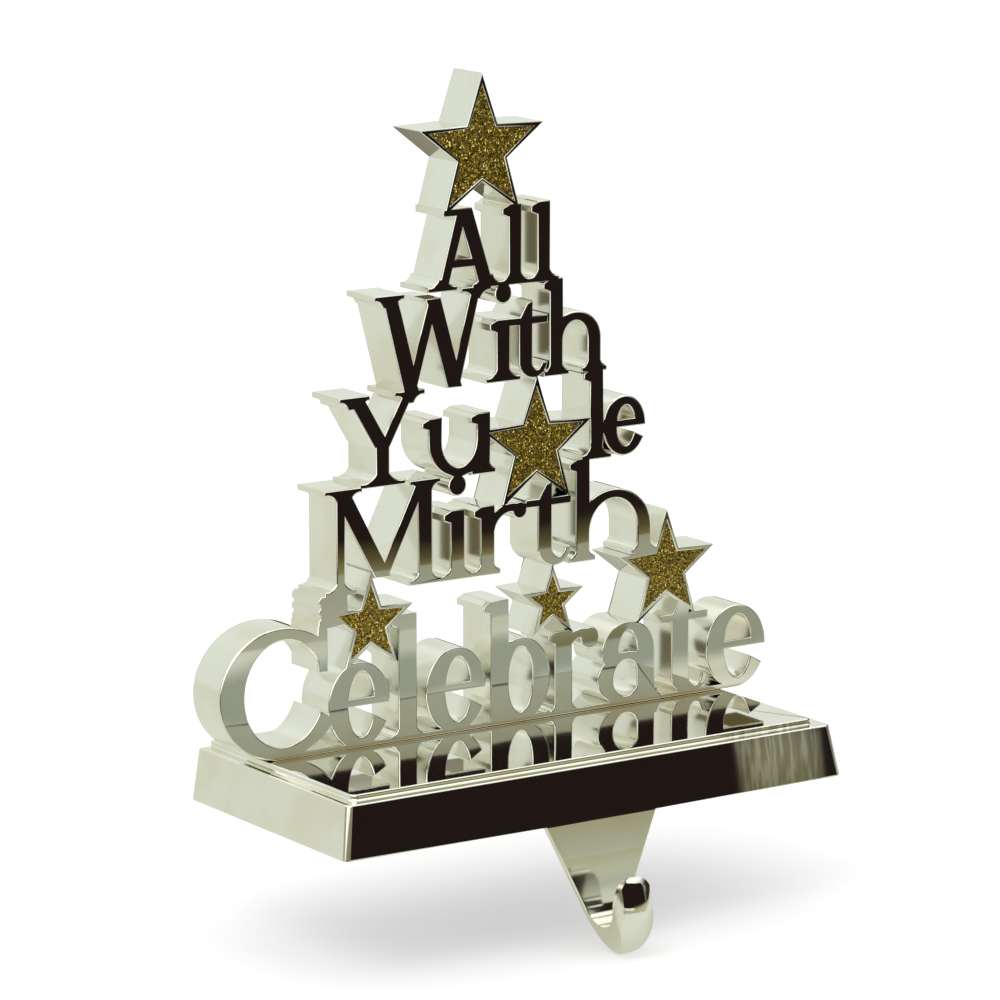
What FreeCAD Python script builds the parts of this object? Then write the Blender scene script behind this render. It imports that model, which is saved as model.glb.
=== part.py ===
"""Mantel stocking holder: a plated plinth with a cast-on hook, and a tree of openwork words and stars.

The origin is on the mantel, at the middle of the plinth's plan. +X runs to the right along the
mantel, -Y points to the room, and +Z points up. The hook hangs in front of the mantel's edge.
"""
import FreeCAD, Part
import math
import os

from FreeCAD import Placement, Rotation, Vector

os.makedirs("parts", exist_ok=True)
doc = FreeCAD.newDocument("StockingHolder")
sheet = doc.addObject("Spreadsheet::Sheet", "Sizes")

SIZES = [
    ("plinth_width", 150.0, "Width of the plinth where it meets the mantel"),
    ("plinth_depth", 72.0, "Depth of the plinth where it meets the mantel"),
    ("skirt_height", 13.3, "Height of the sloping skirt"),
    ("skirt_flare", 2.2, "How far the skirt spreads at its foot, at the front and both sides"),
    ("ledge_width", 3.4, "Width of the ledge between the skirt and the raised deck"),
    ("deck_rise", 1.4, "Height of the deck above the ledge"),
    ("shell_wall", 2.6, "Wall of the hollow plinth casting"),
    ("corner_radius", 1.6, "Rounding of the skirt's upright corners"),
    ("pad_thickness", 1.5, "Thickness of the non-slip pad under the plinth"),
    ("pad_clearance", 0.3, "Gap all round between the pad and its rebate"),
    ("pad_rebate", 1.2, "How far the pad's rebate reaches into the foot of the wall"),
    ("hook_root", 2.2, "Extra thickness of the front wall behind the hook plate"),
    ("hook_top_width", 33.6, "Width of the hook plate under the plinth"),
    ("hook_arm_width", 11.0, "Width of the hook's curled arm"),
    ("hook_taper", 24.0, "Height over which the plate narrows to the arm"),
    ("hook_wall", 1.6, "Thickness of the hook plate"),
    ("hook_arm_thickness", 4.6, "Thickness of the curled arm along its middle"),
    ("hook_lean", 0.11, "Forward lean of the hook plate, for each unit of drop"),
    ("hook_depth", 32.5, "Drop of the hook's lowest point below the mantel"),
    ("hook_gap", 10.4, "Gap between the plate and the arm"),
    ("hook_belly", 7.0, "Thickness of metal under the hook's trough"),
    ("hook_tip_drop", 11.8, "Drop of the arm's tip below the mantel"),
    ("tree_setback", 44.3, "From the plinth's front foot to the face of the words"),
    ("tree_thickness", 13.0, "Thickness of the tree casting"),
    ("bottom_stem", 5.6, "Width of the thick strokes in the bottom word"),
    ("upper_stem", 4.2, "Width of the thick strokes in the upper words"),
    ("hair_stroke", 2.6, "Width of the thin strokes"),
    ("serif_height", 1.9, "Thickness of the serifs"),
    ("letter_lap", 0.5, "How far one letter runs into its neighbour"),
    ("row_lap", 0.6, "How far the feet of one row run into the tops of the row below"),
    ("bottom_cap", 33.4, "Height of the bottom word's capital"),
    ("bridge_height", 5.9, "From the top of the bottom word's capital to the fourth row's feet"),
    ("fourth_height", 26.2, "From the fourth row's feet to the third row's feet"),
    ("third_height", 22.8, "From the third row's feet to the second row's feet"),
    ("second_height", 24.4, "From the second row's feet to the first row's feet"),
    ("first_height", 20.5, "From the first row's feet to its tops"),
    ("bottom_left", -83.1, "Left end of the bottom word"),
    ("bottom_right", 83.4, "Right end of the bottom word"),
    ("fourth_left", -52.4, "Left end of the fourth row"),
    ("fourth_right", 48.2, "Right end of the fourth row"),
    ("third_left", -47.9, "Left end of the third row"),
    ("third_break", -1.6, "Where the third row stops for its star"),
    ("third_resume", 24.6, "Where the third row goes on after its star"),
    ("third_right", 44.6, "Right end of the third row"),
    ("second_left", -37.6, "Left end of the second row"),
    ("second_right", 32.4, "Right end of the second row"),
    ("first_left", -21.8, "Left end of the first row"),
    ("first_right", 17.6, "Right end of the first row"),
    ("star_ratio", 0.41, "Notch radius of a star as a share of its tip radius"),
    ("star_rim", 1.0, "Width of the metal rim round each glitter inlay"),
    ("inlay_depth", 1.2, "Depth of the recess for each glitter inlay"),
    ("inlay_recess", 0.15, "How far the glitter lies below the rim"),
    ("star_sink", 1.6, "How far a star's feet run into the letters below"),
    ("top_star_radius", 19.3, "Tip radius of the top star"),
    ("middle_star_radius", 17.8, "Tip radius of the star in the third row"),
    ("right_star_radius", 15.8, "Tip radius of the star at the end of the fourth row"),
    ("left_star_radius", 13.1, "Tip radius of the star over the bottom word's start"),
    ("small_star_radius", 10.0, "Tip radius of the small star over the bottom word"),
    ("top_star_x", -5.6, "Place of the top star across the tree"),
    ("middle_star_x", 10.8, "Place of the third row's star across the tree"),
    ("right_star_x", 51.4, "Place of the fourth row's star across the tree"),
    ("left_star_x", -39.0, "Place of the left star across the tree"),
    ("small_star_x", 15.8, "Place of the small star across the tree"),
    ("bridge_width", 8.5, "Width of the ribbed block under the fourth row's first foot"),
    ("bridge_rib", 0.5, "Depth of the block's ribs"),
    ("screw_diameter", 3.0, "Thread diameter of the screws that hold the tree"),
    ("screw_clearance", 0.3, "Extra width of the plinth's screw holes"),
    ("screw_length", 12.0, "Length of the screws under their heads"),
    ("screw_head_diameter", 5.6, "Diameter of the screw heads"),
    ("screw_head_height", 2.4, "Height of the screw heads"),
    ("drive_size", 2.5, "Width across flats of the screws' socket"),
    ("boss_diameter", 9.0, "Diameter of the boss round each screw hole"),
    ("boss_height", 2.0, "How far each boss stands below the deck's inner face"),
]

for line, (alias, value, meaning) in enumerate(SIZES, start=1):
    sheet.set("A%d" % line, meaning)
    sheet.set("B%d" % line, str(value))
    sheet.setAlias("B%d" % line, alias)
doc.recompute()


def size(alias):
    """One driving size from the sheet."""
    return float(sheet.get(alias))


FRONT_FOOT = -size("plinth_depth") / 2
DECK_TOP = size("skirt_height") + size("deck_rise")
TREE_FACE = FRONT_FOOT + size("tree_setback")
HAIR = size("hair_stroke")
SERIF = size("serif_height")
LAP = size("letter_lap")
SMALLEST_EYE = 0.25
BOWL_SERIF = 2.2
FOOT_SERIF = 1.8
CAPITAL_SERIF = 2.4
FLAG_REACH = 1.9
FLAG_OVERLAP = 0.6
STAR_LAP = 0.2
BRIDGE_LAP = 0.4
HOLE_RELIEF = 1.0
CROWN_REACH = 1.04
CROWN_BULGE = 1.5
TIP_SLIMNESS = 1.4
CORNER_MARGIN = 0.1


def bind(item, **formulas):
    """Ties properties of an object to formulas on the sheet."""
    for name, formula in formulas.items():
        item.setExpression(name, formula)
    return item


# The letters are drawn in a plane whose first axis is the width and whose second is the height.


def patch(*points):
    """A flat face with straight edges."""
    corners = [Vector(x, z, 0) for x, z in points]
    return Part.Face(Part.makePolygon(corners + corners[:1]))


def block(left, low, right, high):
    """A rectangle between two corners."""
    return patch((left, low), (right, low), (right, high), (left, high))


def slant(low_x, low, high_x, high, width):
    """A sloping stroke with level ends; its width is measured level."""
    half = width / 2
    return patch((low_x - half, low), (low_x + half, low), (high_x + half, high), (high_x - half, high))


def oval(middle_x, middle_z, across, tall):
    """An oval face from its two half sizes."""
    if abs(across - tall) < 1e-6:
        edge = Part.Circle(Vector(0, 0, 0), Vector(0, 0, 1), across).toShape()
    else:
        edge = Part.Ellipse(Vector(0, 0, 0), max(across, tall), min(across, tall)).toShape()
        if tall > across:
            edge.rotate(Vector(0, 0, 0), Vector(0, 0, 1), 90)
    edge.translate(Vector(middle_x, middle_z, 0))
    return Part.Face(Part.Wire([edge]))


def loop(middle_x, middle_z, across, tall, side, cap, stress=0.0):
    """An oval stroke that always keeps an eye; stress thins its right side and thickens its left."""
    inner_across = max(across - side, across * SMALLEST_EYE)
    inner_tall = max(tall - cap, tall * SMALLEST_EYE)
    outer = oval(middle_x, middle_z, across, tall)
    return outer.cut(oval(middle_x + stress, middle_z, inner_across, inner_tall))


def bracket_serif(middle, level, reach, stem, way):
    """A serif with hollow brackets; way is 1 for a foot and -1 for a head."""
    lip = SERIF * 0.75
    rise = SERIF * 1.75
    half = stem / 2
    bend_x = half + (reach - half) * 0.28
    bend_z = lip + (rise - lip) * 0.28

    def at(x, z):
        return Vector(middle + x, level + way * z, 0)

    edges = [
        Part.makeLine(at(-reach, 0), at(reach, 0)),
        Part.makeLine(at(reach, 0), at(reach, lip)),
        Part.Arc(at(reach, lip), at(bend_x, bend_z), at(half, rise)).toShape(),
        Part.makeLine(at(half, rise), at(-half, rise)),
        Part.Arc(at(-half, rise), at(-bend_x, bend_z), at(-reach, lip)).toShape(),
        Part.makeLine(at(-reach, lip), at(-reach, 0)),
    ]
    return Part.Face(Part.Wire(edges))


def flag(stem_left, level, reach, drop):
    """The small sloping flag at the left of a lower-case stem's head."""
    inside = stem_left + FLAG_OVERLAP
    outside = stem_left - reach
    return patch((inside, level), (inside, level - drop), (outside, level - drop * 0.75),
                 (outside, level - drop * 0.3))


# Each letter takes its left edge, its width and its row's style, and gives the faces of its strokes.


def letter_a_capital(left, width, row):
    stem, cap, base = row["stem"], row["cap"], row["base"]
    reach = stem / 2 + CAPITAL_SERIF
    foot_left = left + reach
    foot_right = left + width - reach
    apex = (foot_left + foot_right) / 2
    bar = base + cap * 0.27
    lean = (apex - foot_left) / cap
    return [
        slant(foot_left, base, apex - stem * 0.18, base + cap, HAIR * 1.15),
        slant(foot_right, base, apex, base + cap, stem * 1.12),
        block(apex - stem * 1.6, base + cap - SERIF, apex, base + cap),
        block(foot_left + lean * cap * 0.27, bar, foot_right - lean * cap * 0.27, bar + HAIR * 0.9),
        bracket_serif(foot_left, base, reach, HAIR, 1),
        bracket_serif(foot_right, base, reach, stem, 1),
    ]


def letter_w_capital(left, width, row):
    stem, cap, base = row["stem"], row["cap"], row["base"]
    reach = stem / 2 + CAPITAL_SERIF
    top_left = left + reach
    top_right = left + width - reach
    step = (top_right - top_left) / 4
    top = base + cap
    return [
        slant(top_left + step, base, top_left, top, stem * 1.1),
        slant(top_left + step, base, top_left + 2 * step, top - SERIF, HAIR * 1.1),
        slant(top_left + 3 * step, base, top_left + 2 * step, top - SERIF, stem * 1.1),
        slant(top_left + 3 * step, base, top_right, top, HAIR * 1.15),
        bracket_serif(top_left, top, reach, stem, -1),
        bracket_serif(top_right, top, reach, HAIR, -1),
    ]


def letter_y_capital(left, width, row):
    stem, cap, base = row["stem"], row["cap"], row["base"]
    reach = stem / 2 + CAPITAL_SERIF
    top = base + cap
    middle = left + width / 2
    fork = base + cap * 0.42
    return [
        block(middle - stem / 2, base, middle + stem / 2, fork + stem * 0.7),
        slant(middle, fork, left + reach, top, stem * 1.15),
        slant(middle + stem * 0.15, fork, left + width - reach, top, HAIR * 1.25),
        bracket_serif(middle, base, reach * 1.5, stem, 1),
        bracket_serif(left + reach, top, reach, stem, -1),
        bracket_serif(left + width - reach, top, reach, HAIR, -1),
    ]


def letter_m_capital(left, width, row):
    stem, cap, base = row["stem"], row["cap"], row["base"]
    reach = stem / 2 + CAPITAL_SERIF
    top = base + cap
    stem_left = left + reach
    stem_right = left + width - reach
    middle = (stem_left + stem_right) / 2
    vertex = base + cap * 0.12
    return [
        block(stem_left - HAIR / 2, base, stem_left + HAIR / 2, top),
        block(stem_right - stem / 2, base, stem_right + stem / 2, top),
        slant(middle, vertex, stem_left, top, stem * 1.12),
        slant(middle, vertex, stem_right - stem * 0.2, top, HAIR * 1.2),
        bracket_serif(stem_left, base, reach, HAIR, 1),
        bracket_serif(stem_right, base, reach, stem, 1),
        bracket_serif(stem_left + SERIF / 2, top, reach + SERIF / 2, stem, -1),
        bracket_serif(stem_right, top, reach, stem, -1),
    ]


def letter_c_capital(left, width, row):
    stem, cap, base = row["stem"], row["cap"], row["base"]
    half = cap / 2
    across = width * 0.56
    centre_x = left + across
    centre_z = base + half
    tip = left + width - LAP
    spur = HAIR * 1.1
    ring = loop(centre_x, centre_z, across, half, stem * 1.15, HAIR * 1.25, stem * 0.15)
    mouth = patch((centre_x + across * 0.2, centre_z), (tip + across, centre_z - half * 1.2),
                  (tip + across, centre_z + half * 0.9))
    ring = ring.cut(mouth).cut(block(tip - spur / 2, centre_z, tip + across, base + cap))
    return [ring, block(tip - spur, base + cap * 0.62, tip, base + cap * 0.97)]


def stem_with_feet(middle, foot, head, row, foot_reach):
    """A lower-case stem with a flag at its head and, where asked for, a serif under its foot."""
    stem = row["stem"]
    faces = [
        block(middle - stem / 2, foot, middle + stem / 2, head),
        flag(middle - stem / 2, head, FLAG_REACH, SERIF * 1.9),
    ]
    if foot_reach:
        faces.append(bracket_serif(middle, foot, foot_reach, stem, 1))
    return faces


def letter_l(left, width, row):
    return stem_with_feet(left + width / 2, row["base"], row["tall"], row, width / 2)


def letter_i(left, width, row):
    middle = left + width / 2
    dot = row["stem"] * 0.62
    return stem_with_feet(middle, row["base"], row["x"], row, width / 2) + [
        oval(middle, row["tall"] - dot, dot, dot),
    ]


def letter_t(left, width, row):
    stem, base = row["stem"], row["base"]
    right = left + width
    stem_left = left + width * 0.42 - stem / 2
    stem_right = stem_left + stem
    bowl = (right - stem_left) / 2
    eye = max((right - HAIR * 0.7 - stem_right) / 2, bowl * SMALLEST_EYE)
    foot = oval(stem_left + bowl, base + bowl, bowl, bowl)
    foot = foot.cut(oval(stem_right + eye, base + bowl, eye, bowl - HAIR * 0.9))
    foot = foot.common(block(stem_left, base, right, base + bowl * 0.9))
    bar = row["x"]
    return [
        block(stem_left, base + bowl * 0.8, stem_right, bar),
        patch((stem_left, bar - 0.5), (stem_right, bar - 0.5), (stem_right, bar + stem * 0.95),
              (stem_right - stem * 0.4, bar + stem * 0.8)),
        block(left, bar - HAIR * 0.85, right, bar),
        foot,
    ]


def arch(first, second, row):
    """The shoulder from one stem to the next, with the second stem under it."""
    stem = row["stem"]
    start = first - stem / 2
    end = second + stem / 2
    across = (end - start) / 2
    tall = across * 0.92
    centre_z = row["x"] - tall
    shoulder = loop(start + across, centre_z, across, tall, stem, HAIR)
    shoulder = shoulder.common(block(start, centre_z, end, row["x"]))
    return [shoulder, block(end - stem, row["base"], end, centre_z)]


def letter_h(left, width, row):
    reach = row["stem"] / 2 + FOOT_SERIF
    first = left + reach
    second = left + width - reach
    faces = stem_with_feet(first, row["base"], row["tall"], row, reach)
    faces += arch(first, second, row)
    faces.append(bracket_serif(second, row["base"], reach, row["stem"], 1))
    return faces


def letter_u(left, width, row):
    stem, base = row["stem"], row["base"]
    first = left + stem / 2 + 1.4
    second = left + width - stem / 2 - 1.6
    reach = (second + stem / 2 - (first - stem / 2)) / 2
    centre_x = first - stem / 2 + reach
    bowl = loop(centre_x, base + reach, reach, reach, stem, HAIR)
    bowl = bowl.common(block(first - stem, base, second + stem, base + reach))
    return [
        bowl,
        block(first - stem / 2, base + reach - 0.2, first + stem / 2, row["x"]),
        block(second - stem / 2, base, second + stem / 2, row["x"]),
        flag(first - stem / 2, row["x"], 1.8, SERIF * 1.7),
        flag(second - stem / 2, row["x"], 1.8, SERIF * 1.7),
        bracket_serif(second, base, stem / 2 + 1.6, stem, 1),
    ]


def letter_e(left, width, row):
    stem, base = row["stem"], row["base"]
    half = (row["x"] - base) / 2
    across = width / 2
    centre_x = left + across
    centre_z = base + half
    bar_low = centre_z - HAIR * 0.15
    ring = loop(centre_x, centre_z, across, half, stem * 0.95, HAIR * 1.05, stem * 0.12)
    mouth = patch((centre_x, bar_low), (left + width + 6, bar_low), (left + width + 6, centre_z - half * 0.85))
    return [ring.cut(mouth), block(centre_x - across + HAIR, bar_low, left + width - 0.3, bar_low + HAIR * 0.8)]


def letter_r(left, width, row):
    stem = row["stem"]
    reach = stem / 2 + FOOT_SERIF
    middle = left + reach
    ball = stem * 0.52
    ear_right = left + width
    across = (ear_right - middle) * 0.62
    ear = loop(ear_right - ball - across * 0.35, row["x"] - across, across, across, HAIR, HAIR)
    ear = ear.common(block(middle, row["x"] - across * 0.9, ear_right - ball, row["x"] + 1))
    return stem_with_feet(middle, row["base"], row["x"], row, reach) + [
        ear,
        oval(ear_right - ball, row["x"] - ball, ball, ball),
    ]


def letter_b(left, width, row):
    stem, base = row["stem"], row["base"]
    middle = left + stem / 2 + FLAG_REACH
    half = (row["x"] - base) / 2
    across = (left + width - (middle - stem / 2)) / 2
    centre_x = middle - stem / 2 + across
    return [
        loop(centre_x, base + half, across, half, stem * 0.98, HAIR),
        block(middle - stem / 2, base, middle + stem / 2, row["tall"]),
        flag(middle - stem / 2, row["tall"], FLAG_REACH, SERIF * 1.9),
    ]


def letter_a(left, width, row):
    stem, base = row["stem"], row["base"]
    stem_x = left + width - stem * 0.5 - BOWL_SERIF
    tall = row["x"] - base
    bowl_across = (stem_x + stem / 2 - left) / 2
    bowl_tall = tall * 0.32
    top_across = (stem_x + stem / 2 - left - 1.2) / 2
    top_z = row["x"] - top_across
    ball = stem * 0.46
    top = loop(stem_x + stem / 2 - top_across, top_z, top_across, top_across, stem, HAIR)
    top = top.common(block(left, top_z, stem_x + stem, row["x"]))
    return [
        loop(left + bowl_across, base + bowl_tall, bowl_across, bowl_tall, stem * 0.9, HAIR * 0.9),
        block(stem_x - stem / 2, base, stem_x + stem / 2, top_z + 0.2),
        top,
        oval(left + 1.2 + ball, top_z, ball, ball),
        bracket_serif(stem_x + 0.8, base, stem * 0.5 + 1.5, stem, 1),
    ]


# A row holds its base and top heights, its stroke, its ends and its letters with their natural
# widths; the widths are stretched by one factor, so that the word fills the row.


def style(base, top, x_share, tall_share, stem):
    cap = top - base
    return {"base": base, "cap": cap, "x": base + cap * x_share, "tall": base + cap * tall_share, "stem": stem}


def word(left, right, row, letters):
    """The faces of one word, and the left and right edge of each letter; a kern closes a gap."""
    letters = [(*letter, 0.0)[:3] for letter in letters]
    natural = sum(width for _, width, _ in letters)
    laps = LAP * (len(letters) - 1) + sum(kern for _, _, kern in letters)
    stretch = (right - left + laps) / natural
    faces = []
    edges = []
    cursor = left
    for draw, width, kern in letters:
        cursor -= kern
        faces += draw(cursor, width * stretch, row)
        edges.append((cursor, cursor + width * stretch))
        cursor += width * stretch - LAP
    return faces, edges


upper = size("upper_stem")
row_lap = size("row_lap")
fourth_feet = DECK_TOP + size("bottom_cap") + size("bridge_height")
third_feet = fourth_feet + size("fourth_height")
second_feet = third_feet + size("third_height")
first_feet = second_feet + size("second_height")
first_top = first_feet + size("first_height")
bottom_row = style(DECK_TOP, DECK_TOP + size("bottom_cap"), 0.66, 0.97, size("bottom_stem"))
fourth_row = style(fourth_feet, third_feet + row_lap, 0.67, 1.0, upper * 1.05)
third_row = style(third_feet, second_feet + row_lap, 0.67, 1.0, upper)
second_row = style(second_feet, first_feet + row_lap, 0.64, 1.0, upper)
first_row = style(first_feet, first_top, 0.68, 1.0, upper * 0.95)

first_word, _ = word(size("first_left"), size("first_right"), first_row, [
    (letter_a_capital, 22.0), (letter_l, 9.2), (letter_l, 9.2)])
second_word, _ = word(size("second_left"), size("second_right"), second_row, [
    (letter_w_capital, 33.0), (letter_i, 10.0, 1.2), (letter_t, 11.0, 2.8), (letter_h, 18.5, 0.8)])
third_start, _ = word(size("third_left"), size("third_break"), third_row, [
    (letter_y_capital, 25.0), (letter_u, 21.5)])
third_end, _ = word(size("third_resume"), size("third_right"), third_row, [
    (letter_l, 8.8), (letter_e, 12.6, 2.2)])
fourth_word, _ = word(size("fourth_left"), size("fourth_right"), fourth_row, [
    (letter_m_capital, 34.0), (letter_i, 11.0), (letter_r, 16.0), (letter_t, 14.0), (letter_h, 27.0)])
bottom_word, bottom_edges = word(size("bottom_left"), size("bottom_right"), bottom_row, [
    (letter_c_capital, 31.5), (letter_e, 18.0), (letter_l, 11.5), (letter_e, 18.0), (letter_b, 20.0),
    (letter_r, 15.5), (letter_a, 20.0), (letter_t, 15.0), (letter_e, 19.0)])

# A standing star has its feet a share of its radius below its middle, and its arms a share above.
STAR_FOOT = math.cos(math.radians(36))
STAR_ARM = math.sin(math.radians(18))


def standing(level, radius):
    """The middle height of a star whose feet run into letters with a given top."""
    return level - size("star_sink") + STAR_FOOT * radius


def hanging(level, radius):
    """The middle height of a star whose top point runs into letters with a given foot."""
    return level + row_lap - radius


# The five stars: name, place across, middle height and tip radius.
STARS = [
    ("top", size("top_star_x"), standing(first_top, size("top_star_radius")), size("top_star_radius")),
    ("middle", size("middle_star_x"), hanging(second_row["base"], size("middle_star_radius")),
     size("middle_star_radius")),
    ("right", size("right_star_x"), fourth_row["base"] - STAR_ARM * size("right_star_radius") - STAR_LAP,
     size("right_star_radius")),
    ("left", size("left_star_x"), standing(bottom_row["x"], size("left_star_radius")), size("left_star_radius")),
    ("small", size("small_star_x"), hanging(fourth_row["base"], size("small_star_radius")),
     size("small_star_radius")),
]
STARS = [(name, (x, z), radius) for name, x, z, radius in STARS]


def star(middle, radius):
    """A five-pointed star standing on two points."""
    points = []
    for corner in range(10):
        turn = math.radians(90 + 36 * corner)
        reach = radius * (size("star_ratio") if corner % 2 else 1.0)
        points.append((middle[0] + reach * math.cos(turn), middle[1] + reach * math.sin(turn)))
    return patch(*points)


def inset_radius(radius, rim):
    """The tip radius of a like star whose edges lie a rim's width inside."""
    notch = radius * size("star_ratio")
    edge = math.sqrt(radius ** 2 + notch ** 2 - 2 * radius * notch * math.cos(math.radians(36)))
    apothem = radius * notch * math.sin(math.radians(36)) / edge
    return radius * (1 - rim / apothem)


def ribbed_bridge():
    """The ribbed block that carries the fourth row's first foot on the bottom word."""
    left = bottom_edges[0][1] - LAP - HAIR
    right = left + size("bridge_width")
    low = bottom_row["base"] + bottom_row["cap"] * 0.95
    high = fourth_row["base"] + BRIDGE_LAP
    ribs = 3
    step = (high - low) / ribs
    deep = size("bridge_rib")
    faces = [block(left + deep, low, right, high)]
    for rib in range(ribs):
        faces.append(block(left, low + (rib + 0.2) * step, right, low + (rib + 0.8) * step))
    return faces


def upright(face, front, thickness):
    """Stands a drawn face up, with its front at a depth, and gives it a thickness to the rear."""
    stood = face.copy()
    stood.rotate(Vector(0, 0, 0), Vector(1, 0, 0), 90)
    stood.translate(Vector(0, front, 0))
    return stood.extrude(Vector(0, thickness, 0))


def fused(faces, front, thickness):
    """One upright casting from overlapping drawn faces."""
    solids = [upright(face, front, thickness) for face in faces]
    return solids[0].multiFuse(solids[1:]).removeSplitter()


def feature(name, shape):
    """A sub-part whose shape the drawn outlines give."""
    item = doc.addObject("Part::Feature", name)
    item.Shape = shape
    item.Placement = Placement()
    item.Label = name
    return item


# The tree: every word and star rim in one casting, with a recess in each star.
foot_band = block(sum(bottom_edges[0]) / 2, DECK_TOP, sum(bottom_edges[-1]) / 2, DECK_TOP + SERIF * 0.7)
strokes = first_word + second_word + third_start + third_end + fourth_word + bottom_word + [foot_band]
strokes += ribbed_bridge() + [star(middle, radius) for _, middle, radius in STARS]
tree_shape = fused(strokes, TREE_FACE, size("tree_thickness"))
print("tree solids", len(tree_shape.Solids), "volume", round(tree_shape.Volume))

# The screws rise into the stems of the bottom word's third and seventh letters.
SCREW_X = [sum(bottom_edges[2]) / 2, bottom_edges[6][1] - size("bottom_stem") / 2 - BOWL_SERIF]
SCREW_Y = TREE_FACE + size("tree_thickness") / 2
DECK_INSIDE = size("skirt_height") - size("shell_wall")
SCREW_SEAT = DECK_INSIDE - size("boss_height")
HOLE_TOP = SCREW_SEAT + size("screw_length") + HOLE_RELIEF

for name, middle, radius in STARS:
    recess = star(middle, inset_radius(radius, size("star_rim")))
    tree_shape = tree_shape.cut(upright(recess, TREE_FACE, size("inlay_depth")))
for x in SCREW_X:
    hole = Part.makeCylinder(size("screw_diameter") / 2, HOLE_TOP - DECK_TOP, Vector(x, SCREW_Y, DECK_TOP))
    tree_shape = tree_shape.cut(hole)
subparts = [feature("word_tree", tree_shape)]

for name, middle, radius in STARS:
    glitter = star(middle, inset_radius(radius, size("star_rim")))
    thickness = size("inlay_depth") - size("inlay_recess")
    solid = upright(glitter, TREE_FACE + size("inlay_recess"), thickness)
    subparts.append(feature(name + "_star_inlay", solid))


# The plinth: a hollow casting with a sloping skirt, a raised deck and the hook cast on.


def skirt(name, inset, front_inset, top):
    """The skirt's block or its hollow: a wedge with an upright back, inset from the outside."""
    item = doc.addObject("Part::Wedge", name)
    spread = "Sizes.skirt_flare / Sizes.skirt_height * (%s)" % top
    bind(
        item,
        Xmin="-Sizes.plinth_width / 2 + %s" % inset,
        Xmax="Sizes.plinth_width / 2 - %s" % inset,
        Zmin="-Sizes.plinth_depth / 2 + %s" % inset,
        Zmax="Sizes.plinth_depth / 2 - (%s)" % front_inset,
        Ymax=top,
        X2min="-Sizes.plinth_width / 2 + %s + %s" % (inset, spread),
        X2max="Sizes.plinth_width / 2 - %s - %s" % (inset, spread),
        Z2min="-Sizes.plinth_depth / 2 + %s" % inset,
        Z2max="Sizes.plinth_depth / 2 - (%s) - %s" % (front_inset, spread),
    )
    item.Ymin = 0
    item.Placement = Placement(Vector(0, 0, 0), Rotation(Vector(1, 0, 0), 90))
    return item


def sized_box(name, length, width, height, x, y, z):
    """A box whose sizes and corner are formulas on the sheet."""
    item = doc.addObject("Part::Box", name)
    bind(item, Length=length, Width=width, Height=height)
    item.setExpression("Placement.Base.x", x)
    item.setExpression("Placement.Base.y", y)
    item.setExpression("Placement.Base.z", z)
    return item


skirt_block = skirt("SkirtBlock", "0", "0", "Sizes.skirt_height")
front_wall = "Sizes.hook_wall + Sizes.hook_root"
hollow = skirt("SkirtHollow", "Sizes.shell_wall", front_wall, "Sizes.skirt_height - Sizes.shell_wall")
deck_inset = "(Sizes.skirt_flare + Sizes.ledge_width)"
deck = sized_box(
    "Deck",
    "Sizes.plinth_width - 2 * %s" % deck_inset,
    "Sizes.plinth_depth - %s" % deck_inset,
    "Sizes.deck_rise + Sizes.shell_wall / 2",
    "-Sizes.plinth_width / 2 + %s" % deck_inset,
    "-Sizes.plinth_depth / 2 + %s" % deck_inset,
    "Sizes.skirt_height - Sizes.shell_wall / 2",
)


def pad_block(name, gap):
    """The pad or its rebate under the plinth, smaller all round by a gap."""
    side = "(Sizes.shell_wall - Sizes.pad_rebate + %s)" % gap
    front = "(%s - Sizes.pad_rebate + %s)" % (front_wall, gap)
    return sized_box(
        name,
        "Sizes.plinth_width - 2 * %s" % side,
        "Sizes.plinth_depth - %s - %s" % (side, front),
        "Sizes.pad_thickness",
        "-Sizes.plinth_width / 2 + %s" % side,
        "-Sizes.plinth_depth / 2 + %s" % front,
        "0",
    )


rebate = pad_block("PadRebate", "0")
base_pad = pad_block("BasePad", "Sizes.pad_clearance")
base_pad.Label = "base_pad"
doc.recompute()


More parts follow.
